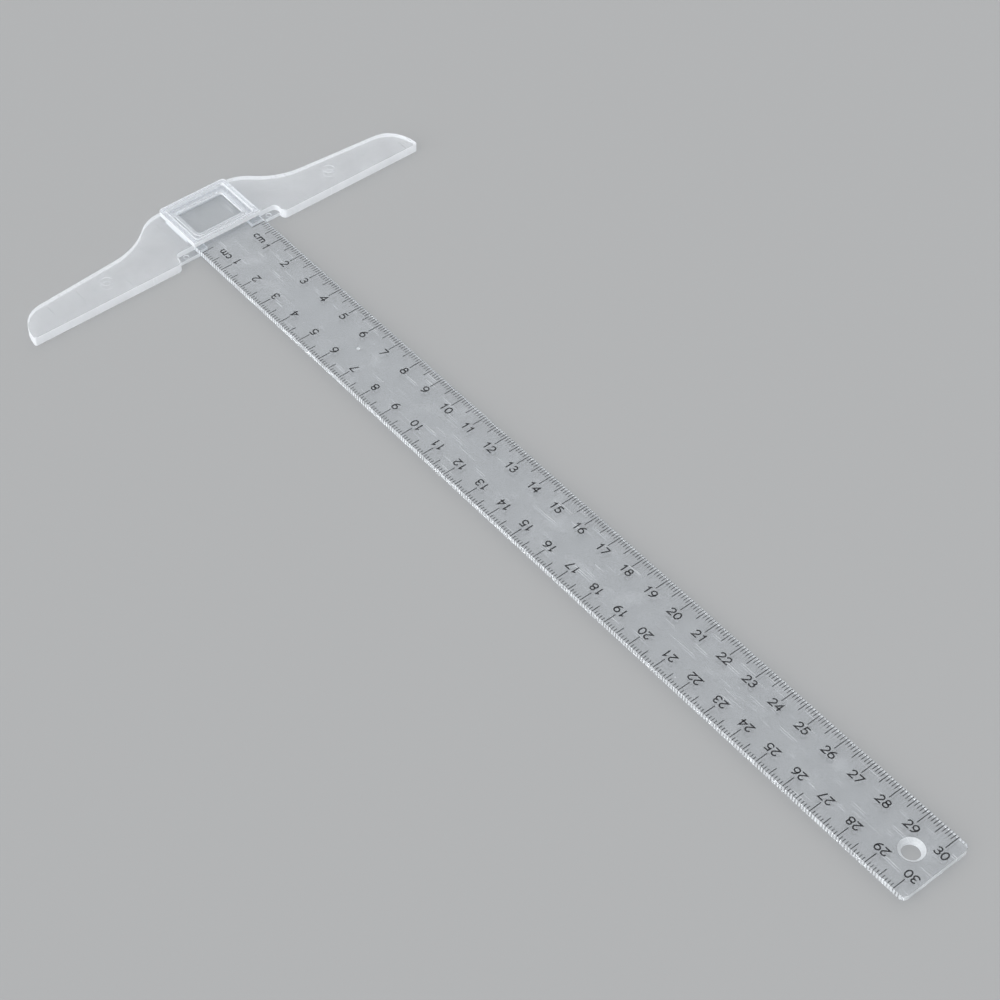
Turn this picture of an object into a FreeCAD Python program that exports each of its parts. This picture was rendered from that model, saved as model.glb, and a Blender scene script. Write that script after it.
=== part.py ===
"""A 30 cm drafting T-square: a moulded head, the window cover on it, and a clear ruler blade.

Frame: +X runs along the blade away from the head, +Y is left of the blade, +Z is up.
The origin is where the plane of the head's working edge (x = 0, the zero of the scale)
meets the underside of the blade (z = 0, the drawing surface) on the blade's centreline.
"""
import FreeCAD, Part
import math
import os

import Sketcher
from FreeCAD import Vector

doc = FreeCAD.newDocument("t_square")
sheet = doc.addObject("Spreadsheet::Sheet", "Sizes")

DRIVING_SIZES = {
    # head: a flat plate with two wings
    "head_thick": 3.6,
    "head_drop": 1.6,  # how far the head hangs below the drawing surface
    "head_half_span": 74.0,
    "head_depth": 23.9,  # from the working edge back to the rear of the head
    "shoulder_start": 12.8,  # where the straight rear edge ends
    "shoulder_radius": 12.0,
    "shoulder_slope": 40.0,  # degrees, the straight run between the two curves
    "waist_radius": 24.0,
    "wing_taper": 4.4,  # degrees, the long rear edge of a wing
    "tip_start": 64.9,  # distance out where the wing starts to round off
    "tip_width": 11.7,  # depth of the wing there
    "tip_radius": 9.0,
    "tip_corner": 0.8,
    "rim_round": 0.3,
    # stepped notches either side of the blade
    "notch_half_width": 19.5,
    "ledge_front": 2.4,  # how far the ledge's front sits behind the working edge
    "ledge_thick": 1.4,
    "notch_wall": 4.7,
    "notch_round": 1.8,
    "cut_margin": 1.0,  # how far the notches' cuts run out past the working edge
    # channel that holds the blade's tail, open below between its two rails
    "channel_half_width": 12.3,
    "channel_end": 22.4,
    "rail_inner": 10.4,
    "pad_inner": 8.7,
    "pad_back": 6.5,
    "rear_web": 21.35,
    # slots for the cover's side tabs
    "slot_front": 7.0,
    "slot_back": 19.0,
    "slot_outer": 13.1,
    "slot_clearance": 0.1,  # how much deeper a slot is than the tab in it
    # moulding witness marks
    "witness_radius": 1.95,
    "witness_line": 0.25,
    "witness_depth": 0.12,
    "witness_x": 7.6,
    "witness_y": 43.1,
    "dimple_radius": 0.9,
    "dimple_depth": 0.5,
    "dimple_x": 3.7,
    "dimple_y": 16.0,
    # cover
    "cover_height": 1.8,
    "cover_front": 3.4,
    "cover_back": 23.65,
    "cover_half_width": 12.8,
    "cover_corner": 1.6,
    "cover_round": 0.45,
    "tray_front": 4.5,
    "tray_back": 22.1,
    "tray_half_width": 11.1,
    "tray_floor": 0.65,  # thickness of the roof over the blade
    "tray_corner": 1.0,
    "window_front": 7.1,
    "window_back": 19.3,
    "window_half_width": 8.55,
    "window_corner": 1.2,
    "bead_width": 1.2,
    "bead_height": 0.3,
    "tab_front": 8.0,
    "tab_back": 18.8,
    "tab_inner": 12.38,
    "tab_drop": 1.3,
    # blade
    "blade_reach": 304.0,
    "blade_shoulder": 2.2,  # how far behind the scale's zero the slimmer tail begins
    "blade_tail": 22.25,
    "tail_relief": 0.05,  # how much slimmer the tail is on every side, so that it slides
    "blade_width": 24.6,
    "blade_thick": 2.0,
    "blade_corner": 1.8,
    "blade_round": 0.15,
    "hang_hole_x": 294.85,
    "hang_hole_radius": 2.7,
    "hang_hole_sink": 1.05,  # width and depth of the hole's countersink
    "gate_mark_x": 64.0,
    "gate_mark_radius": 0.45,
    "gate_mark_depth": 0.2,
}


def fill_sheet():
    """Write each driving size into its own cell and give the cell the size's name."""
    for row, (alias, number) in enumerate(DRIVING_SIZES.items(), start=1):
        sheet.set(f"A{row}", alias)
        sheet.set(f"B{row}", str(number))
        sheet.setAlias(f"B{row}", alias)
    doc.recompute()


def worth(expression):
    """Number that an expression on the sheet gives now."""
    answer = sheet.evalExpression(expression)
    return float(getattr(answer, "Value", answer))


ZERO = "0 * Sizes.head_thick"  # no length at all, for a place on the frame's own planes
GROUND = ZERO  # the drawing surface
WING_TOP = "(Sizes.head_thick - Sizes.head_drop)"
COVER_TOP = "(Sizes.head_thick - Sizes.head_drop + Sizes.cover_height)"
TRAY_TOP = "(Sizes.head_thick - Sizes.head_drop + Sizes.tray_floor)"

MARGIN = 0.1  # slack when edges are picked by their place
TOUCHING = 1e-3  # two points closer than this are the same point


def new_body(label):
    """Empty body for one sub-part."""
    body = doc.addObject("PartDesign::Body", label)
    body.Label = label
    return body


def new_sketch(body, name, level):
    """Sketch parallel to the body's XY plane at the height that an expression gives."""
    sketch = body.newObject("Sketcher::SketchObject", name)
    plane = next(item for item in body.Origin.OriginFeatures if item.Role == "XY_Plane")
    sketch.AttachmentSupport = [(plane, "")]
    sketch.MapMode = "FlatFace"
    sketch.setExpression("AttachmentOffset.Base.z", level)
    return sketch


def bind(sketch, constraint, name, expression):
    """Add a constraint, name it and drive its value from the sheet."""
    index = sketch.addConstraint(constraint)
    sketch.renameConstraint(index, name)
    sketch.setExpression(f"Constraints.{name}", expression)


def draw_rectangle(sketch, left, right, low, high, tag=""):
    """Rectangle whose four sides sit where four expressions say."""
    x0, x1, y0, y1 = (worth(side) for side in (left, right, low, high))
    corners = [Vector(x0, y0, 0), Vector(x1, y0, 0), Vector(x1, y1, 0), Vector(x0, y1, 0)]
    first = sketch.GeometryCount
    for number in range(4):
        sketch.addGeometry(Part.LineSegment(corners[number], corners[(number + 1) % 4]), False)
    for number in range(4):
        following = first + (number + 1) % 4
        sketch.addConstraint(Sketcher.Constraint("Coincident", first + number, 2, following, 1))
        direction = "Horizontal" if number % 2 == 0 else "Vertical"
        sketch.addConstraint(Sketcher.Constraint(direction, first + number))
    bind(sketch, Sketcher.Constraint("DistanceX", -1, 1, first, 1, x0), "left" + tag, left)
    bind(sketch, Sketcher.Constraint("DistanceX", -1, 1, first + 1, 1, x1), "right" + tag, right)
    bind(sketch, Sketcher.Constraint("DistanceY", -1, 1, first, 1, y0), "low" + tag, low)
    bind(sketch, Sketcher.Constraint("DistanceY", -1, 1, first + 2, 1, y1), "high" + tag, high)


def draw_circle(sketch, across, up, radius, tag=""):
    """Circle whose centre and radius three expressions give."""
    x, y, size = (worth(item) for item in (across, up, radius))
    index = sketch.addGeometry(Part.Circle(Vector(x, y, 0), Vector(0, 0, 1), size), False)
    bind(sketch, Sketcher.Constraint("DistanceX", -1, 1, index, 3, x), "across" + tag, across)
    bind(sketch, Sketcher.Constraint("DistanceY", -1, 1, index, 3, y), "up" + tag, up)
    bind(sketch, Sketcher.Constraint("Radius", index, size), "radius" + tag, radius)


def pad(body, sketch, name, height):
    """Raise a sketch by the height that an expression gives."""
    feature = body.newObject("PartDesign::Pad", name)
    feature.Profile = sketch
    feature.setExpression("Length", height)
    doc.recompute()
    return feature


def pad_down(body, sketch, name, height):
    """Extend a sketch downwards."""
    feature = pad(body, sketch, name, height)
    feature.Reversed = True
    doc.recompute()
    return feature


def pocket(body, sketch, name, depth):
    """Sink a sketch by the depth that an expression gives, and make sure it cut something."""
    before = body.Shape.Volume
    feature = body.newObject("PartDesign::Pocket", name)
    feature.Profile = sketch
    feature.setExpression("Length", depth)
    doc.recompute()
    if body.Shape.Volume >= before - 1e-6:
        raise RuntimeError(f"{name} cut nothing")
    return feature


def mirror(body, features, name):
    """Repeat features on the other side of the blade's centreline."""
    before = body.Shape.Volume
    feature = body.newObject("PartDesign::Mirrored", name)
    plane = next(item for item in body.Origin.OriginFeatures if item.Role == "XZ_Plane")
    feature.Originals = features
    feature.MirrorPlane = (plane, [""])
    body.Tip = feature
    doc.recompute()
    if abs(body.Shape.Volume - before) < 1e-6:
        raise RuntimeError(f"{name} repeated nothing")
    return feature


def edge_names(shape, wanted):
    """Names of the edges of a shape that a test picks."""
    return [f"Edge{n}" for n, edge in enumerate(shape.Edges, start=1) if wanted(edge)]


def round_edges(body, name, radius, wanted):
    """Fillet the edges that a test picks."""
    base = body.Tip
    names = edge_names(base.Shape, wanted)
    if not names:
        raise RuntimeError(f"{name} found no edge")
    feature = body.newObject("PartDesign::Fillet", name)
    feature.Base = (base, names)
    feature.setExpression("Radius", radius)
    doc.recompute()
    return feature


def upright_at(spots):
    """Test for upright edges that stand at any of some (x, y) places."""

    def wanted(edge):
        ends = [vertex.Point for vertex in edge.Vertexes]
        if len(ends) != 2 or math.hypot(ends[0].x - ends[1].x, ends[0].y - ends[1].y) > 1e-4:
            return False
        return any(math.hypot(ends[0].x - x, abs(ends[0].y) - y) < TOUCHING for x, y in spots)

    return wanted


def level_at(height, keep):
    """Test for edges that lie wholly at one height and whose middle passes a second test."""

    def wanted(edge):
        box = edge.BoundBox
        flat = abs(box.ZMin - height) < 1e-4 and abs(box.ZMax - height) < 1e-4
        return flat and keep(box)

    return wanted


# ---------------------------------------------------------------- head


def wing_path():
    """Points and arc middles of one wing's rear edge, walked outwards from the centreline.

    Each step is ("line", end) or ("arc", middle, end). The walker's heading is measured from
    +Y towards +X, so it starts at 0 and ends at 90 degrees on the working edge.
    """
    slope = math.radians(worth("Sizes.shoulder_slope"))
    taper = math.radians(worth("Sizes.wing_taper"))
    shoulder = worth("Sizes.shoulder_radius")
    waist = worth("Sizes.waist_radius")
    tip = worth("Sizes.tip_radius")
    rear = -worth("Sizes.head_depth")
    start = worth("Sizes.shoulder_start")
    tip_start = (-worth("Sizes.tip_width"), worth("Sizes.tip_start"))
    half_span = worth("Sizes.head_half_span")

    def turned(point, radius, from_angle, to_angle):
        """Where an arc of this radius ends when the heading turns between two angles."""
        sign = 1 if to_angle > from_angle else -1
        across = sign * radius * (math.cos(from_angle) - math.cos(to_angle))
        along = sign * radius * (math.sin(to_angle) - math.sin(from_angle))
        return (point[0] + across, point[1] + along)

    def arc(point, radius, from_angle, to_angle):
        """Arc step that turns the heading between two angles."""
        middle = turned(point, radius, from_angle, (from_angle + to_angle) / 2)
        return ("arc", middle, turned(point, radius, from_angle, to_angle))

    shoulder_from = (rear, start)
    shoulder_arc = arc(shoulder_from, shoulder, 0.0, slope)
    shoulder_end = shoulder_arc[2]
    # the straight run is as long as it must be for the waist curve to meet the taper line
    waist_step = turned((0.0, 0.0), waist, slope, taper)
    gap_x = tip_start[0] - shoulder_end[0] - waist_step[0]
    gap_y = tip_start[1] - shoulder_end[1] - waist_step[1]
    determinant = math.sin(slope) * math.cos(taper) - math.sin(taper) * math.cos(slope)
    straight = (gap_x * math.cos(taper) - gap_y * math.sin(taper)) / determinant
    waist_from = (
        shoulder_end[0] + straight * math.sin(slope),
        shoulder_end[1] + straight * math.cos(slope),
    )
    # the last arc is the one that is square to the working edge at the full half span
    steepest, shallowest = math.radians(89.0), math.radians(20.0)
    for _ in range(60):
        turn = (steepest + shallowest) / 2
        join = turned(tip_start, tip, taper, turn)
        last_radius = -join[0] / math.cos(turn)
        reach = join[1] + last_radius * (1 - math.sin(turn))
        if reach > half_span:
            shallowest = turn
        else:
            steepest = turn
    return [
        ("line", shoulder_from),
        shoulder_arc,
        ("line", waist_from),
        arc(waist_from, waist, slope, taper),
        ("line", tip_start),
        arc(tip_start, tip, taper, turn),
        arc(join, last_radius, turn, math.pi / 2),
    ]


def draw_wing(sketch):
    """Half of the head's outline: its rear edge, its working edge and the centreline."""
    rear = Vector(-worth("Sizes.head_depth"), 0, 0)
    here = rear
    steps = []
    for step in wing_path():
        end = Vector(step[-1][0], step[-1][1], 0)
        if step[0] == "line":
            steps.append(Part.LineSegment(here, end))
        else:
            steps.append(Part.Arc(here, Vector(step[1][0], step[1][1], 0), end))
        here = end
    corner = Vector(0, 0, 0)
    steps.append(Part.LineSegment(here, corner))
    steps.append(Part.LineSegment(corner, rear))
    for step in steps:
        sketch.addGeometry(step, False)
    return len(steps)


def fix_wing(sketch, count):
    """Tie the outline together and drive its sizes from the sheet."""
    rear_line, shoulder, run, waist, taper, tip, nose, front, middle = range(count)

    def end_of(index, near):
        """Which end of a curve lies at a point: 1 for its start and 2 for its end."""
        points = [sketch.getPoint(index, side) for side in (1, 2)]
        return 1 if points[0].sub(near).Length < points[1].sub(near).Length else 2

    joins = [(rear_line, shoulder), (shoulder, run), (run, waist), (waist, taper), (taper, tip), (tip, nose)]
    for one, other in joins:
        shared = min(
            (sketch.getPoint(one, side) for side in (1, 2)),
            key=lambda point: min(point.sub(sketch.getPoint(other, side)).Length for side in (1, 2)),
        )
        ends = end_of(one, shared), end_of(other, shared)
        sketch.addConstraint(Sketcher.Constraint("Tangent", one, ends[0], other, ends[1]))
    nose_out = end_of(nose, sketch.getPoint(front, 1))
    sketch.addConstraint(Sketcher.Constraint("Coincident", nose, nose_out, front, 1))
    sketch.addConstraint(Sketcher.Constraint("Coincident", front, 2, middle, 1))
    sketch.addConstraint(Sketcher.Constraint("Coincident", middle, 2, rear_line, 1))
    sketch.addConstraint(Sketcher.Constraint("Vertical", rear_line))
    sketch.addConstraint(Sketcher.Constraint("Vertical", front))
    sketch.addConstraint(Sketcher.Constraint("Coincident", front, 2, -1, 1))
    sketch.addConstraint(Sketcher.Constraint("Horizontal", middle))
    depth = worth("Sizes.head_depth")
    bind(sketch, Sketcher.Constraint("DistanceX", middle, 2, middle, 1, depth), "depth", "Sizes.head_depth")
    for index, name in ((shoulder, "shoulder"), (waist, "waist"), (tip, "tip")):
        radius = worth(f"Sizes.{name}_radius")
        bind(sketch, Sketcher.Constraint("Radius", index, radius), name, f"Sizes.{name}_radius")
    half_span = worth("Sizes.head_half_span")
    span = Sketcher.Constraint("DistanceY", front, 2, front, 1, half_span)
    bind(sketch, span, "span", "Sizes.head_half_span")


def head_plate(body):
    """Solid plate of both wings."""
    sketch = new_sketch(body, "wing_outline", "-Sizes.head_drop")
    fix_wing(sketch, draw_wing(sketch))
    wing = pad(body, sketch, "wing", "Sizes.head_thick")
    mirror(body, [wing], "wings")
    tip_corner = [(0.0, worth("Sizes.head_half_span"))]
    round_edges(body, "tip_corners", "Sizes.tip_corner", upright_at(tip_corner))


def head_notches(body):
    """Cut the stepped notches that leave a ledge either side of the blade."""
    half = "Sizes.notch_half_width"
    sketch = new_sketch(body, "notch_front_outline", WING_TOP)
    draw_rectangle(sketch, "-Sizes.ledge_front", "Sizes.cut_margin", f"-{half}", half)
    pocket(body, sketch, "notch_front", "Sizes.head_thick")
    sketch = new_sketch(body, "notch_step_outline", WING_TOP)
    draw_rectangle(sketch, "-Sizes.notch_wall", "Sizes.cut_margin", f"-{half}", half)
    pocket(body, sketch, "notch_step", "Sizes.head_thick - Sizes.ledge_thick")
    width = worth(half)
    corners = [(0.0, width), (-worth("Sizes.notch_wall"), width)]
    round_edges(body, "notch_corners", "Sizes.notch_round", upright_at(corners))


def head_channel(body):
    """Cut the channel for the blade's tail, the opening under it and the cover's tab slots."""
    half = "Sizes.channel_half_width"
    sketch = new_sketch(body, "channel_outline", WING_TOP)
    draw_rectangle(sketch, "-Sizes.channel_end", ZERO, f"-{half}", half)
    pocket(body, sketch, "channel", WING_TOP)
    sketch = new_sketch(body, "underside_opening_outline", GROUND)
    rail = "Sizes.rail_inner"
    draw_rectangle(sketch, "-Sizes.rear_web", "-Sizes.pad_back", f"-{rail}", rail)
    pocket(body, sketch, "underside_opening", "Sizes.head_drop")
    sketch = new_sketch(body, "pad_gap_outline", GROUND)
    inner = "Sizes.pad_inner"
    draw_rectangle(sketch, "-Sizes.pad_back", ZERO, f"-{inner}", inner)
    pocket(body, sketch, "pad_gap", "Sizes.head_drop")
    sketch = new_sketch(body, "tab_slot_outline", WING_TOP)
    outer = "Sizes.slot_outer"
    draw_rectangle(sketch, "-Sizes.slot_back", "-Sizes.slot_front", f"-{outer}", outer)
    pocket(body, sketch, "tab_slots", "Sizes.tab_drop + Sizes.slot_clearance")


def head_marks(body):
    """Sink the moulding marks: a ring on both faces of each wing and a dimple on each ledge."""
    rings = (("top", WING_TOP, False), ("bottom", "-Sizes.head_drop", True))
    for side in (1, -1):
        across = "-Sizes.witness_x"
        up = f"{side} * Sizes.witness_y"
        hand = "left" if side > 0 else "right"
        for face, level, upwards in rings:
            sketch = new_sketch(body, f"witness_{hand}_{face}_outline", level)
            draw_circle(sketch, across, up, "Sizes.witness_radius", "_out")
            draw_circle(sketch, across, up, "Sizes.witness_radius - Sizes.witness_line", "_in")
            feature = body.newObject("PartDesign::Pocket", f"witness_{hand}_{face}")
            feature.Profile = sketch
            feature.Reversed = upwards
            feature.setExpression("Length", "Sizes.witness_depth")
            doc.recompute()
        sketch = new_sketch(body, f"dimple_{hand}_outline", "Sizes.ledge_thick - Sizes.head_drop")
        draw_circle(sketch, "-Sizes.dimple_x", f"{side} * Sizes.dimple_y", "Sizes.dimple_radius")
        pocket(body, sketch, f"dimple_{hand}", "Sizes.dimple_depth")


def head_rims(body):
    """Ease the upper and lower edges of the outline, and the upper front edge of each ledge."""
    slot = worth("Sizes.slot_outer") + MARGIN
    step = -worth("Sizes.notch_wall") - MARGIN
    rear = -worth("Sizes.head_depth") + MARGIN
    ring = 2 * worth("Sizes.witness_radius") + MARGIN
    ledge = -worth("Sizes.ledge_front") + TOUCHING

    def on_outline(box):
        """True for the outline's own edges: not the channel, the slots or the moulding marks."""
        nearest = min(abs(box.YMin), abs(box.YMax))
        is_mark = box.XLength < ring and box.YLength < ring and box.XMax < step
        in_front = box.XMin > step
        behind = box.XMax < rear
        outboard = box.YMin * box.YMax > 0 and nearest > slot and not is_mark
        return in_front or behind or outboard

    def below_wings(box):
        """True for the outline's lower edges, not those of the ledges and pads."""
        nearest = min(abs(box.YMin), abs(box.YMax))
        return on_outline(box) and (box.XMin > ledge or nearest > worth("Sizes.notch_half_width"))

    round_edges(body, "upper_rim", "Sizes.rim_round", level_at(worth(WING_TOP), on_outline))
    round_edges(body, "lower_rim", "Sizes.rim_round", level_at(-worth("Sizes.head_drop"), below_wings))


def build_head():
    """Moulded head: two wings, the ledges, and the channel that takes the blade's tail."""
    body = new_body("head")
    head_plate(body)
    head_notches(body)
    head_channel(body)
    head_marks(body)
    head_rims(body)
    return body


# ---------------------------------------------------------------- cover


def cover_shell(body):
    """Raised block with a shallow tray sunk into its top."""
    half = "Sizes.cover_half_width"
    sketch = new_sketch(body, "cover_outline", WING_TOP)
    draw_rectangle(sketch, "-Sizes.cover_back", "-Sizes.cover_front", f"-{half}", half)
    pad(body, sketch, "block", "Sizes.cover_height")
    rear = [(-worth("Sizes.cover_back"), worth(half))]
    round_edges(body, "rear_corners", "Sizes.cover_corner", upright_at(rear))
    sketch = new_sketch(body, "tray_outline", COVER_TOP)
    inner = "Sizes.tray_half_width"
    draw_rectangle(sketch, "-Sizes.tray_back", "-Sizes.tray_front", f"-{inner}", inner)
    pocket(body, sketch, "tray", "Sizes.cover_height - Sizes.tray_floor")
    tray = [(-worth(f"Sizes.tray_{end}"), worth(inner)) for end in ("back", "front")]
    round_edges(body, "tray_corners", "Sizes.tray_corner", upright_at(tray))


def cover_window(body):
    """Beaded window through the tray."""
    half = "Sizes.window_half_width"
    wide = "Sizes.bead_width"
    sketch = new_sketch(body, "bead_outline", TRAY_TOP)
    sides = (f"-Sizes.window_back - {wide}", f"-Sizes.window_front + {wide}")
    draw_rectangle(sketch, sides[0], sides[1], f"-{half} - {wide}", f"{half} + {wide}")
    pad(body, sketch, "bead", "Sizes.bead_height")
    outer_y = worth(f"{half} + {wide}")
    outer = [(worth(sides[0]), outer_y), (worth(sides[1]), outer_y)]
    round_edges(body, "bead_corners", "Sizes.window_corner + Sizes.bead_width", upright_at(outer))
    sketch = new_sketch(body, "window_outline", f"{TRAY_TOP} + Sizes.bead_height")
    draw_rectangle(sketch, "-Sizes.window_back", "-Sizes.window_front", f"-{half}", half)
    pocket(body, sketch, "window", "Sizes.tray_floor + Sizes.bead_height")
    corners = [(-worth(f"Sizes.window_{end}"), worth(half)) for end in ("back", "front")]
    round_edges(body, "window_corners", "Sizes.window_corner", upright_at(corners))


def cover_rounding(body):
    """Ease the cover's upper edge and round the bead over."""
    top = worth(COVER_TOP)
    bead_top = worth(f"{TRAY_TOP} + Sizes.bead_height")
    tray = worth("Sizes.tray_half_width") + MARGIN
    front = -worth("Sizes.tray_front") + MARGIN
    back = -worth("Sizes.tray_back") - MARGIN

    def outside(box):
        """True for the edges of the block, not of its tray."""
        middle = box.Center
        return abs(middle.y) > tray or middle.x > front or middle.x < back

    round_edges(body, "cover_edges", "Sizes.cover_round", level_at(top, outside))
    everywhere = level_at(bead_top, lambda box: True)
    round_edges(body, "bead_edges", "Sizes.bead_height * 0.8", everywhere)


def cover_tabs(body):
    """Tabs that drop into the head's slots either side of the blade."""
    for side, hand in ((1, "left"), (-1, "right")):
        sketch = new_sketch(body, f"tab_{hand}_outline", WING_TOP)
        inner, outer = "Sizes.tab_inner", "Sizes.cover_half_width"
        low, high = (inner, outer) if side > 0 else (f"-{outer}", f"-{inner}")
        draw_rectangle(sketch, "-Sizes.tab_back", "-Sizes.tab_front", low, high)
        pad_down(body, sketch, f"tab_{hand}", "Sizes.tab_drop")


def build_cover():
    """Raised cover over the blade's tail, with a window that shows the tail."""
    body = new_body("window_cover")
    cover_shell(body)
    cover_window(body)
    cover_rounding(body)
    cover_tabs(body)
    return body


# ---------------------------------------------------------------- blade


def build_blade():
    """Clear ruler blade with a hanging hole near its free end."""
    body = new_body("ruler_blade")
    half = "Sizes.blade_width / 2"
    sketch = new_sketch(body, "blade_outline", GROUND)
    draw_rectangle(sketch, "-Sizes.blade_shoulder", "Sizes.blade_reach", f"-{half}", half)
    pad(body, sketch, "strip", "Sizes.blade_thick")
    slim = f"({half} - Sizes.tail_relief)"
    sketch = new_sketch(body, "tail_outline", "Sizes.tail_relief")
    draw_rectangle(sketch, "-Sizes.blade_tail", "-Sizes.blade_shoulder", f"-{slim}", slim)
    pad(body, sketch, "tail", "Sizes.blade_thick - 2 * Sizes.tail_relief")
    free_end = [(worth("Sizes.blade_reach"), worth(half))]
    round_edges(body, "free_end_corners", "Sizes.blade_corner", upright_at(free_end))
    sketch = new_sketch(body, "hang_hole_outline", "Sizes.blade_thick")
    draw_circle(sketch, "Sizes.hang_hole_x", ZERO, "Sizes.hang_hole_radius")
    pocket(body, sketch, "hang_hole", "Sizes.blade_thick")
    thick = worth("Sizes.blade_thick")
    hole_wide = 2 * worth("Sizes.hang_hole_radius")
    hole_edge = level_at(thick, lambda box: abs(box.YLength - hole_wide) < MARGIN)
    plain = body.Tip
    sink = body.newObject("PartDesign::Chamfer", "hang_hole_countersink")
    sink.Base = (plain, edge_names(plain.Shape, hole_edge))
    sink.setExpression("Size", "Sizes.hang_hole_sink")
    doc.recompute()
    free_side = worth("Sizes.hang_hole_x + Sizes.hang_hole_radius + Sizes.hang_hole_sink")

    def outline(box):
        """True for the strip's long edges and its free end, not the hole's edge."""
        return box.XLength > 20 or box.XMin > free_side

    round_edges(body, "upper_edges", "Sizes.blade_round", level_at(thick, outline))
    round_edges(body, "lower_edges", "Sizes.blade_round", level_at(0.0, outline))
    sketch = new_sketch(body, "gate_mark_outline", "Sizes.blade_thick")
    draw_circle(sketch, "Sizes.gate_mark_x", ZERO, "Sizes.gate_mark_radius")
    pocket(body, sketch, "gate_mark", "Sizes.gate_mark_depth")
    return body


# ---------------------------------------------------------------- export


def check_document():
    """Stop if any feature failed or any sub-part is empty or broken."""
    doc.recompute()
    for item in doc.Objects:
        if "Invalid" in item.State or "Error" in item.State:
            raise RuntimeError(f"{item.Name} failed: {item.State}")
    for body in sub_parts:
        if body.Shape.isNull() or not body.Shape.isValid() or len(body.Shape.Solids) != 1:
            raise RuntimeError(f"{body.Label} is not one sound solid")


def export_parts():
    """Write each sub-part to its own STEP file."""
    os.makedirs("parts", exist_ok=True)
    for body in sub_parts:
        body.Shape.exportStep(f"parts/{body.Label}.step")
        print(body.Label, round(body.Shape.Volume / 1000, 3), "cm3", body.Shape.BoundBox)


fill_sheet()
sub_parts = [build_head(), build_cover(), build_blade()]
check_document()
export_parts()
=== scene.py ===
"""Studio picture of a clear plastic T-square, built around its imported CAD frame.

Lengths in this script are millimetres unless a name says otherwise; MM turns them into metres.
+X runs along the blade away from the head, +Y is left of the blade, +Z is up.
"""

import math

import bmesh
import bpy
from mathutils import Matrix, Vector


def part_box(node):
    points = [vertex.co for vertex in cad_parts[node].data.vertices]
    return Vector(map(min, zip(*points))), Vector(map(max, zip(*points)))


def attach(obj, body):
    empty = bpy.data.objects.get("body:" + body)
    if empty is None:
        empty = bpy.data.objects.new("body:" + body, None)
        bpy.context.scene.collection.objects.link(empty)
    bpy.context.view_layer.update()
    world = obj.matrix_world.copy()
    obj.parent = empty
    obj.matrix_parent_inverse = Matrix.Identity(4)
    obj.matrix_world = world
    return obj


MM = 0.001

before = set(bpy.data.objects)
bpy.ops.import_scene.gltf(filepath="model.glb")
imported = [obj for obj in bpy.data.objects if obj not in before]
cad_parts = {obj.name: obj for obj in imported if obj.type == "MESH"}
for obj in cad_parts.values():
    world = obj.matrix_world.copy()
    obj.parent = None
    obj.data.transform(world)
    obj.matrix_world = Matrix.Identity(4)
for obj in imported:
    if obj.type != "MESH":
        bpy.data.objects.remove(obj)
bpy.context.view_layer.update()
BLADE_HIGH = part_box("ruler_blade")[1] / MM
BLADE_END = BLADE_HIGH.x
BLADE_HALF = BLADE_HIGH.y
BLADE_TOP = BLADE_HIGH.z
FLOOR_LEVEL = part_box("head")[0].z / MM

# ---------------------------------------------------------------- printed scale

SCALE_LENGTH = 300
PRINT_SHIFT = -0.45  # the print sits this far towards the right-hand edge
EDGE_GAP = 0.12  # the marks stop just inside the rounded edge of the blade
MARK_LENGTHS = {10: 4.8, 5: 3.4, 1: 1.75}  # measured from where the edge ought to be
MARK_WIDTHS = {10: 0.26, 5: 0.25, 1: 0.23}
INK_HIGH = BLADE_TOP + 0.008
INK_LOW = BLADE_TOP - 0.012  # the ink bites into the surface, so that light inside the blade meets it

NUMERAL_MIDDLE = 6.75  # from the edge to the middle of the numerals
NUMERAL_HEIGHT = 2.85  # with the width of the stroke
STROKE = 0.42
NUMERAL_PITCH = 2.25
LETTER_PITCH = 2.45
LETTER_RISE = 1.15  # the letters stand this much nearer the edge than the numerals
LAST_NUMERAL_SHIFT = 0.6  # the last numeral is moved clear of the one before it
LETTER_MIDDLE = 5.2  # where the unit's two letters are centred along the blade

FULL_TURN = 360
ARC_STEP = 12  # degrees
CLOSED_GAP = 1e-6  # a stroke whose ends are closer than this is a ring
SHARPEST_MITRE = 0.35  # keeps the corner of a sharp bend from growing into a spike
CAP_STEPS = 6  # sides of the half circle at a stroke's end


def arc(centre_x, centre_y, radius_x, radius_y, start, end):
    """Points along an ellipse from one angle to another, both in degrees."""
    count = max(2, round(abs(end - start) / ARC_STEP))
    points = []
    for number in range(count + 1):
        angle = math.radians(start + (end - start) * number / count)
        points.append((centre_x + radius_x * math.cos(angle), centre_y + radius_y * math.sin(angle)))
    return points


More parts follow.
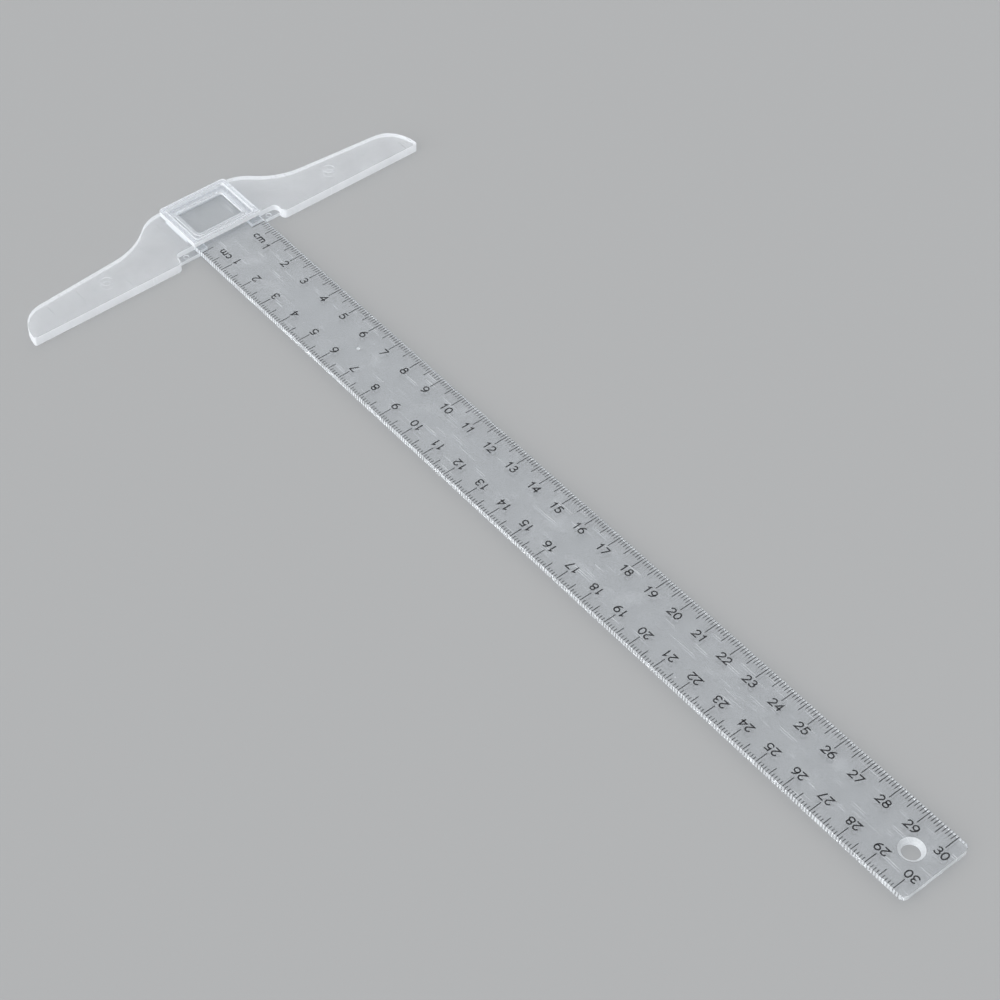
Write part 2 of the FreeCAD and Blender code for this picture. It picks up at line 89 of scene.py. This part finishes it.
# Each glyph is a list of strokes in a box 1 high, with its foot at 0. The middle is x = 0.
GLYPHS = {
    "0": [arc(0, 0.5, 0.33, 0.5, 0, FULL_TURN)],
    "1": [[(-0.2, 0.8), (0.05, 1.0), (0.05, 0.0)]],
    "2": [arc(-0.01, 0.71, 0.3, 0.29, 165, -38) + [(-0.32, 0.0), (0.33, 0.0)]],
    "3": [arc(-0.03, 0.76, 0.27, 0.24, 150, -90) + arc(-0.03, 0.27, 0.33, 0.27, 80, -152)],
    "4": [[(0.17, 0.0), (0.17, 1.0), (-0.35, 0.3), (0.36, 0.3)]],
    "5": [[(0.28, 1.0), (-0.21, 1.0), (-0.26, 0.55)] + arc(-0.02, 0.32, 0.34, 0.32, 120, -150)],
    "6": [arc(0.3, 0.34, 0.63, 0.68, 100, 180), arc(0.0, 0.31, 0.33, 0.31, 0, FULL_TURN)],
    "7": [[(-0.32, 1.0), (0.33, 1.0), (-0.12, 0.0)]],
    "8": [arc(0, 0.76, 0.27, 0.24, 0, FULL_TURN), arc(0, 0.27, 0.33, 0.27, 0, FULL_TURN)],
    "9": [arc(-0.3, 0.66, 0.63, 0.68, -80, 0), arc(0.0, 0.69, 0.33, 0.31, 0, FULL_TURN)],
    "c": [arc(0.02, 0.33, 0.3, 0.33, 48, 312)],
    "m": [
        [(-0.46, 0.0), (-0.46, 0.66)],
        arc(-0.23, 0.42, 0.23, 0.22, 180, 0) + [(0.0, 0.0)],
        arc(0.23, 0.42, 0.23, 0.22, 180, 0) + [(0.46, 0.0)],
    ],
}


def stroke_outline(points):
    """Points down both sides of a stroke, and whether it closes on itself."""
    half = STROKE / 2
    closed = (Vector(points[0]) - Vector(points[-1])).length < CLOSED_GAP
    spots = [Vector(point) for point in (points[:-1] if closed else points)]
    count = len(spots)
    left, right = [], []
    for number, spot in enumerate(spots):
        before = spots[(number - 1) % count] if closed or number else spot
        after = spots[(number + 1) % count] if closed or number < count - 1 else spot
        arriving = (spot - before).normalized() if before != spot else (after - spot).normalized()
        leaving = (after - spot).normalized() if after != spot else arriving
        along = (arriving + leaving).normalized()
        across = Vector((-along.y, along.x))
        reach = half / max(SHARPEST_MITRE, along.dot(arriving))
        left.append(spot + across * reach)
        right.append(spot - across * reach)
    return left, right, closed


def round_cap(centre, edge_point, away):
    """Points of a half circle round a stroke's end, from its edge round to the other side."""
    spoke = edge_point - centre
    turn = 1 if spoke.x * away.y - spoke.y * away.x > 0 else -1
    points = []
    for number in range(1, CAP_STEPS):
        angle = turn * math.pi * number / CAP_STEPS
        cos, sin = math.cos(angle), math.sin(angle)
        points.append(centre + Vector((spoke.x * cos - spoke.y * sin, spoke.x * sin + spoke.y * cos)))
    return points


def new_points(mesh, spots, level):
    """Vertices of a mesh over points of the blade, all at one level."""
    return [mesh.verts.new((x * MM, y * MM, level * MM)) for x, y in spots]


def add_fence(mesh, upper, lower):
    """Upright faces between two rows of vertices, one over the other."""
    for number in range(len(upper) - 1):
        after = number + 1
        mesh.faces.new((upper[number], lower[number], lower[after], upper[after]))


def add_slab(mesh, ring):
    """Thin solid of ink with the outline of a ring of points on the blade."""
    upper = new_points(mesh, ring, INK_HIGH)
    lower = new_points(mesh, ring, INK_LOW)
    mesh.faces.new(upper)
    mesh.faces.new(list(reversed(lower)))
    add_fence(mesh, upper + upper[:1], lower + lower[:1])


def add_stroke(mesh, points, place):
    """One stroke of a glyph as a thin solid of ink, with round ends unless it closes on itself."""
    left, right, closed = stroke_outline(points)
    rows = []
    for one, other in zip(left, right):
        across = place(one), place(other)
        rows.append(new_points(mesh, across, INK_HIGH) + new_points(mesh, across, INK_LOW))
    pairs = list(zip(rows, rows[1:]))
    if closed:
        pairs.append((rows[-1], rows[0]))
    for (left_0, right_0, low_left_0, low_right_0), (left_1, right_1, low_left_1, low_right_1) in pairs:
        mesh.faces.new((left_0, left_1, right_1, right_0))
        mesh.faces.new((low_left_0, low_right_0, low_right_1, low_left_1))
        mesh.faces.new((left_0, low_left_0, low_left_1, left_1))
        mesh.faces.new((right_0, right_1, low_right_1, low_right_0))
    if closed:
        return
    ends = ((0, 1, points[0]), (-1, -2, points[-1]))
    for end, inside, centre in ends:
        middle = Vector(centre)
        away = middle - (left[inside] + right[inside]) / 2
        curve = [place(point) for point in round_cap(middle, left[end], away)]
        high_first, high_last, low_first, low_last = rows[end]
        upper = [high_first] + new_points(mesh, curve, INK_HIGH) + [high_last]
        lower = [low_first] + new_points(mesh, curve, INK_LOW) + [low_last]
        mesh.faces.new(upper)
        mesh.faces.new(list(reversed(lower)))
        add_fence(mesh, upper, lower)


def write_text(mesh, text, middle_x, side):
    """Numerals or letters centred at a place along the blade, with their tops towards one edge."""
    body = NUMERAL_HEIGHT - STROKE
    pitch, rise = (LETTER_PITCH, LETTER_RISE) if text.isalpha() else (NUMERAL_PITCH, 0.0)
    line = side * (BLADE_HALF - NUMERAL_MIDDLE + rise) + PRINT_SHIFT
    for number, letter in enumerate(text):
        middle = (number - (len(text) - 1) / 2) * pitch

        def place(point):
            """Turn a point of the glyph into a point on the blade."""
            return Vector((middle_x + side * (middle + point.x), line + side * (point.y - body / 2)))

        for stroke in GLYPHS[letter]:
            add_stroke(mesh, [(x * body, y * body) for x, y in stroke], place)


def mark_mesh(side):
    """Millimetre marks along one edge."""
    mesh = bmesh.new()
    edge = side * (BLADE_HALF - EDGE_GAP)
    for millimetre in range(SCALE_LENGTH + 1):
        kind = next(step for step in MARK_LENGTHS if millimetre % step == 0)
        half = MARK_WIDTHS[kind] / 2
        inner = side * (BLADE_HALF - MARK_LENGTHS[kind]) + PRINT_SHIFT
        ring = [(millimetre - half, edge), (millimetre + half, edge)]
        ring += [(millimetre + half, inner), (millimetre - half, inner)]
        add_slab(mesh, ring)
    return mesh


def numeral_mesh(side):
    """Centimetre numerals along one edge, after the unit's name."""
    mesh = bmesh.new()
    write_text(mesh, "cm", LETTER_MIDDLE, side)
    last = SCALE_LENGTH // 10
    for centimetre in range(1, last + 1):
        shift = LAST_NUMERAL_SHIFT if centimetre == last else 0
        write_text(mesh, str(centimetre), centimetre * 10 + shift, side)
    return mesh


def print_on_blade(name, mesh, ink):
    """Finish a mesh of ink as a piece that rides on the blade."""
    bmesh.ops.recalc_face_normals(mesh, faces=mesh.faces)
    data = bpy.data.meshes.new(name)
    mesh.to_mesh(data)
    mesh.free()
    piece = bpy.data.objects.new(name, data)
    bpy.context.scene.collection.objects.link(piece)
    data.materials.append(ink)
    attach(piece, "blade")


# ---------------------------------------------------------------- materials

LEVEL_NORMAL = 0.95  # the upward part of the normal above which a face counts as level
UPRIGHT_NORMAL = 0.35  # and below which it counts as a wall
HANG_HOLE = (294.85, 0.0)  # its middle
HANG_HOLE_RIM = 3.8  # radius of its countersink
GATE_MARK = (64.0, 0.0)
GATE_MARK_RADIUS = 0.5
MOST_WHITE = 0.95  # even the whitest spot stays a little clear
SOFT_RIM = 0.1  # width over which a painted spot fades out
SCRATCH_TURNS = (12.0, -35.0, 68.0)  # degrees
SCRATCH_STRETCH = (1.0, 28.0, 1.0)


def new_material(name):
    """Empty node material with its output."""
    material = bpy.data.materials.new(name)
    material.use_nodes = True
    tree = material.node_tree
    tree.nodes.clear()
    return material, tree, tree.nodes.new("ShaderNodeOutputMaterial")


def node(tree, kind, **values):
    """Node with some of its inputs set by name, with _ for the spaces in a name."""
    made = tree.nodes.new(kind)
    for name, value in values.items():
        made.inputs[name.replace("_", " ")].default_value = value
    return made


def arithmetic(tree, operation, *values):
    """Math node; each value is a number or another node's output."""
    made = tree.nodes.new("ShaderNodeMath")
    made.operation = operation
    for slot, value in zip(made.inputs, values):
        if isinstance(value, (int, float)):
            slot.default_value = value
        else:
            tree.links.new(value, slot)
    return made.outputs[0]


def spread(tree, value, low, high, to_low=0.0, to_high=1.0):
    """Smooth step of a value from one range to another."""
    made = tree.nodes.new("ShaderNodeMapRange")
    made.interpolation_type = "SMOOTHSTEP"
    for name, number in (("From Min", low), ("From Max", high), ("To Min", to_low), ("To Max", to_high)):
        made.inputs[name].default_value = number
    tree.links.new(value, made.inputs["Value"])
    return made.outputs["Result"]


def uprightness(tree):
    """1 on upright walls and 0 on level faces."""
    shape = tree.nodes.new("ShaderNodeNewGeometry")
    split = tree.nodes.new("ShaderNodeSeparateXYZ")
    tree.links.new(shape.outputs["Normal"], split.inputs["Vector"])
    level = arithmetic(tree, "ABSOLUTE", split.outputs["Z"])
    return spread(tree, level, LEVEL_NORMAL, UPRIGHT_NORMAL)


def blended(tree, share, one, other):
    """Mix of two shaders; the share is a number or an output."""
    mix = tree.nodes.new("ShaderNodeMixShader")
    if isinstance(share, (int, float)):
        mix.inputs["Fac"].default_value = share
    else:
        tree.links.new(share, mix.inputs["Fac"])
    tree.links.new(one, mix.inputs[1])
    tree.links.new(other, mix.inputs[2])
    return mix.outputs["Shader"]


def milk(tree, shade):
    """Matt white that both reflects light and lets it through."""
    back = node(tree, "ShaderNodeBsdfDiffuse", Color=(*shade, 1))
    through = node(tree, "ShaderNodeBsdfTranslucent", Color=(*shade, 1))
    return blended(tree, 0.5, back.outputs["BSDF"], through.outputs["BSDF"])


def clear_for_light(tree, surface, tint):
    """Let shadow and diffuse rays pass a clear piece, tinted, so that light reaches what lies under it."""
    path = tree.nodes.new("ShaderNodeLightPath")
    either = arithmetic(tree, "MAXIMUM", path.outputs["Is Shadow Ray"], path.outputs["Is Diffuse Ray"])
    passing = node(tree, "ShaderNodeBsdfTransparent", Color=(*tint, 1))
    return blended(tree, either, surface, passing.outputs["BSDF"])


def polystyrene(tree, tint, roughness):
    """Refracting body of the plastic."""
    return node(
        tree,
        "ShaderNodeBsdfPrincipled",
        Base_Color=(*tint, 1),
        Roughness=roughness,
        IOR=1.57,
        Transmission_Weight=1.0,
    )


def noise(tree, scale, detail=2.0, stretch=None, turn=0.0):
    """Noise over the object; a stretch and a turn about Z make streaks of it."""
    place = tree.nodes.new("ShaderNodeTexCoord").outputs["Object"]
    if stretch:
        mapping = tree.nodes.new("ShaderNodeMapping")
        mapping.inputs["Rotation"].default_value = (0.0, 0.0, math.radians(turn))
        mapping.inputs["Scale"].default_value = stretch
        tree.links.new(place, mapping.inputs["Vector"])
        place = mapping.outputs["Vector"]
    made = node(tree, "ShaderNodeTexNoise", Scale=scale, Detail=detail)
    tree.links.new(place, made.inputs["Vector"])
    return made.outputs["Fac"]


def scratches(tree):
    """Share of fine scratches: thin streaks that run at several angles."""
    total = 0.0
    for turn in SCRATCH_TURNS:
        streak = noise(tree, scale=60.0, detail=1.0, stretch=SCRATCH_STRETCH, turn=turn)
        total = arithmetic(tree, "ADD", spread(tree, streak, 0.7, 0.76), total)
    return total


def specks(tree):
    """Share of small scattered pits."""
    place = tree.nodes.new("ShaderNodeTexCoord").outputs["Object"]
    cells = node(tree, "ShaderNodeTexVoronoi", Scale=150.0)
    tree.links.new(place, cells.inputs["Vector"])
    return spread(tree, cells.outputs["Distance"], 0.05, 0.03)


def position(tree, axis):
    """Position on the object along one axis, in metres."""
    place = tree.nodes.new("ShaderNodeTexCoord").outputs["Object"]
    split = tree.nodes.new("ShaderNodeSeparateXYZ")
    tree.links.new(place, split.inputs["Vector"])
    return split.outputs[axis]


def near(tree, x, y, radius):
    """1 within a radius of an upright line, fading to 0 just outside it."""
    along = arithmetic(tree, "SUBTRACT", position(tree, "X"), x * MM)
    across = arithmetic(tree, "SUBTRACT", position(tree, "Y"), y * MM)
    along_square = arithmetic(tree, "MULTIPLY", along, along)
    square = arithmetic(tree, "MULTIPLY_ADD", across, across, along_square)
    return spread(tree, arithmetic(tree, "SQRT", square), (radius + SOFT_RIM) * MM, radius * MM)


def beads(tree):
    """Painted light: 1 between whole millimetres and 0 near them, along the blade's two long edges only,
    standing in for light that passes between the marks.
    """
    fraction = arithmetic(tree, "FRACT", arithmetic(tree, "DIVIDE", position(tree, "X"), MM))
    off_middle = arithmetic(tree, "ABSOLUTE", arithmetic(tree, "SUBTRACT", fraction, 0.5))
    # painted light: pale beads standing in for light that passes between the millimetre marks
    painted_bead = spread(tree, off_middle, 0.4, 0.2)
    across = arithmetic(tree, "ABSOLUTE", position(tree, "Y"))
    edge = spread(tree, across, (BLADE_HALF - 0.4) * MM, (BLADE_HALF - 0.2) * MM)
    return arithmetic(tree, "MULTIPLY", painted_bead, edge)


def grained(tree, shader_node, height, depth):
    """Give a shader the fine relief of a height texture; the depth is in millimetres."""
    bump = node(tree, "ShaderNodeBump", Strength=1.0, Distance=depth * MM)
    tree.links.new(height, bump.inputs["Height"])
    tree.links.new(bump.outputs["Normal"], shader_node.inputs["Normal"])


def ink_material():
    """Black screen-printing ink: slightly uneven and half matt."""
    material, tree, output = new_material("scale_ink")
    ramp = tree.nodes.new("ShaderNodeValToRGB")
    ramp.color_ramp.elements[0].color = (0.008, 0.008, 0.009, 1)
    ramp.color_ramp.elements[1].color = (0.03, 0.03, 0.033, 1)
    tree.links.new(noise(tree, scale=900.0, detail=3.0), ramp.inputs["Fac"])
    ink = node(tree, "ShaderNodeBsdfPrincipled", Roughness=0.5, Specular_IOR_Level=0.15)
    tree.links.new(ramp.outputs["Color"], ink.inputs["Base Color"])
    tree.links.new(ink.outputs["BSDF"], output.inputs["Surface"])
    return material


def blade_haze(tree):
    """White share of the blade's faces: fine mottle, cloudy patches, scratches and specks."""
    mottle = spread(tree, noise(tree, scale=2200.0), 0.35, 0.65, to_low=0.02, to_high=0.07)
    patches = spread(tree, noise(tree, scale=120.0, detail=4.0), 0.5, 0.75, to_high=0.1)
    wear = arithmetic(tree, "MAXIMUM", scratches(tree), specks(tree))
    return arithmetic(tree, "MULTIPLY_ADD", wear, 0.4, arithmetic(tree, "ADD", mottle, patches))


def edge_whiteness(tree):
    """White share of the blade's matt walls, brighter at the free end and, as painted light, between whole
    millimetres.
    """
    free_end = spread(tree, position(tree, "X"), (BLADE_END - 0.8) * MM, (BLADE_END - 0.4) * MM)
    bright = arithmetic(tree, "MAXIMUM", beads(tree), free_end)
    return arithmetic(tree, "MULTIPLY_ADD", bright, 0.5, 0.2)


def spot_whiteness(tree, upright):
    """White share of the hanging hole's rough wall and of the gate mark on top."""
    hole = arithmetic(tree, "MULTIPLY", near(tree, *HANG_HOLE, HANG_HOLE_RIM), upright)
    rough = arithmetic(tree, "MULTIPLY", hole, 2.0)
    on_top = spread(tree, position(tree, "Z"), BLADE_TOP * 0.5 * MM, BLADE_TOP * 0.6 * MM)
    gate = arithmetic(tree, "MULTIPLY", near(tree, *GATE_MARK, GATE_MARK_RADIUS), on_top)
    return arithmetic(tree, "MULTIPLY_ADD", gate, 0.9, rough)


def blade_material():
    """Clear polished polystyrene with a faint haze, fine scratches and matt edges, plus painted light
    beads along the edges and a grey tint that is painted shade.
    """
    material, tree, output = new_material("clear_polystyrene")
    # the grey tint is painted shade: it darkens the clear plastic as a dark ground seen through it would
    glass = polystyrene(tree, tint=(0.74, 0.76, 0.78), roughness=0.02)
    grained(tree, glass, noise(tree, scale=45.0), 0.03)
    white = milk(tree, (0.9, 0.92, 0.94))
    upright = uprightness(tree)
    # the walls' matt white, plus painted light beads between the millimetre marks
    faces = arithmetic(tree, "MULTIPLY_ADD", upright, edge_whiteness(tree), blade_haze(tree))
    share = arithmetic(tree, "ADD", faces, spot_whiteness(tree, upright))
    share = arithmetic(tree, "MINIMUM", share, MOST_WHITE)
    body = blended(tree, share, glass.outputs["BSDF"], white)
    surface = clear_for_light(tree, body, tint=(0.9, 0.91, 0.92))
    tree.links.new(surface, output.inputs["Surface"])
    return material


def head_material():
    """Frosted moulded polystyrene: milky inside, with white matt walls."""
    material, tree, output = new_material("frosted_polystyrene")
    glass = polystyrene(tree, tint=(0.93, 0.94, 0.96), roughness=0.14)
    grained(tree, glass, noise(tree, scale=2500.0, detail=3.0), 0.02)
    white = milk(tree, (0.97, 0.98, 1.0))
    clouds = spread(tree, noise(tree, scale=90.0, detail=4.0), 0.3, 0.7, to_low=0.1, to_high=0.2)
    frost = arithmetic(tree, "MULTIPLY_ADD", scratches(tree), 0.08, clouds)
    share = arithmetic(tree, "MULTIPLY_ADD", uprightness(tree), 0.75, frost)
    body = blended(tree, share, glass.outputs["BSDF"], white)
    surface = clear_for_light(tree, body, tint=(0.92, 0.93, 0.94))
    tree.links.new(surface, output.inputs["Surface"])
    pale = (0.98, 0.99, 1.0, 1)
    cloud = node(tree, "ShaderNodeVolumeScatter", Color=pale, Density=90.0, Anisotropy=0.4)
    tree.links.new(cloud.outputs["Volume"], output.inputs["Volume"])
    return material


def floor_material():
    """Plain pale studio floor."""
    material, tree, output = new_material("studio_floor")
    grey = (0.34, 0.34, 0.34, 1)
    paper = node(tree, "ShaderNodeBsdfPrincipled", Base_Color=grey, Roughness=0.9, Specular_IOR_Level=0.1)
    tree.links.new(paper.outputs["BSDF"], output.inputs["Surface"])
    return material


# ---------------------------------------------------------------- CAD pieces


def dress(name, material):
    """Give a CAD node its material."""
    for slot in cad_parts[name].material_slots:
        slot.material = material


# ---------------------------------------------------------------- studio

CAMERA_AIM = (136.45, -4.57, 0.0)
CAMERA_DISTANCE = 695.7
CAMERA_ELEVATION = 48.3  # degrees above the drawing surface
CAMERA_HEADING = 138.29  # degrees from +X to the way the camera looks
CAMERA_ROLL = 2.4
CAMERA_LENS = 87.06
SENSOR = 36.0


def direction(heading, elevation):
    """Unit vector at a heading from +X and an elevation above level, both in degrees."""
    turn, tilt = math.radians(heading), math.radians(elevation)
    return Vector((math.cos(turn) * math.cos(tilt), math.sin(turn) * math.cos(tilt), math.sin(tilt)))


def build_camera():
    """Camera that looks down along the blade from its free end's right-hand side."""
    data = bpy.data.cameras.new("camera")
    data.lens = CAMERA_LENS
    data.sensor_width = SENSOR
    data.clip_start = 0.01
    forward = direction(CAMERA_HEADING, -CAMERA_ELEVATION)
    camera = bpy.data.objects.new("camera", data)
    turn = forward.to_track_quat("-Z", "Y").to_matrix().to_4x4()
    roll = Matrix.Rotation(math.radians(CAMERA_ROLL), 4, "Z")
    place = Vector(CAMERA_AIM) * MM - forward * CAMERA_DISTANCE * MM
    camera.matrix_world = Matrix.Translation(place) @ turn @ roll
    bpy.context.scene.collection.objects.link(camera)
    bpy.context.scene.camera = camera


def build_floor():
    """Large plain floor under the head."""
    size = 4000 * MM
    data = bpy.data.meshes.new("floor")
    level = FLOOR_LEVEL * MM
    corners = [(-size, -size, level), (size, -size, level), (size, size, level), (-size, size, level)]
    data.from_pydata(corners, [], [(0, 1, 2, 3)])
    floor = bpy.data.objects.new("floor", data)
    data.materials.append(floor_material())
    bpy.context.scene.collection.objects.link(floor)


# Each softbox: heading and elevation of its middle, the angles at which it starts to fade and ends,
# all in degrees, and its strength.
MIRRORED_SOFTBOX = (CAMERA_HEADING, CAMERA_ELEVATION, 26.0, 48.0, 1.1)
FRONT_SOFTBOX = (CAMERA_HEADING - 225.0, 32.0, 18.0, 42.0, 3.6)
SURROUNDINGS = 0.5


def softbox(tree, ray, heading, elevation, inner, outer, strength):
    """Brightness of one very large round softbox, seen along a ray."""
    facing = tree.nodes.new("ShaderNodeVectorMath")
    facing.operation = "DOT_PRODUCT"
    facing.inputs[1].default_value = direction(heading, elevation)
    tree.links.new(ray, facing.inputs[0])
    rim, core = math.cos(math.radians(outer)), math.cos(math.radians(inner))
    return spread(tree, facing.outputs["Value"], rim, core, to_high=strength)


def build_lights():
    """Pale surroundings, one softbox that flat faces mirror to the camera and one on the camera's side."""
    world = bpy.data.worlds.new("studio")
    bpy.context.scene.world = world
    world.use_nodes = True
    tree = world.node_tree
    backdrop = tree.nodes["Background"]
    ray = tree.nodes.new("ShaderNodeTexCoord").outputs["Generated"]
    mirrored = softbox(tree, ray, *MIRRORED_SOFTBOX)
    front = softbox(tree, ray, *FRONT_SOFTBOX)
    both = arithmetic(tree, "ADD", mirrored, front)
    total = arithmetic(tree, "ADD", both, SURROUNDINGS)
    tree.links.new(total, backdrop.inputs["Strength"])
    backdrop.inputs["Color"].default_value = (0.97, 0.985, 1.0, 1)


# ---------------------------------------------------------------- assembly

ink = ink_material()
for hand, side in (("left", 1), ("right", -1)):
    print_on_blade(f"scale_marks_{hand}", mark_mesh(side), ink)
    print_on_blade(f"scale_numerals_{hand}", numeral_mesh(side), ink)

frosted = head_material()
dress("head", frosted)
dress("window_cover", frosted)
dress("ruler_blade", blade_material())

build_camera()
build_floor()
build_lights()

scene = bpy.context.scene
scene.view_settings.view_transform = "Standard"
scene.cycles.caustics_refractive = False
scene.cycles.caustics_reflective = False
scene.cycles.glossy_bounces = 32
scene.cycles.transmission_bounces = 32
scene.cycles.max_bounces = 40
scene.cycles.volume_bounces = 6
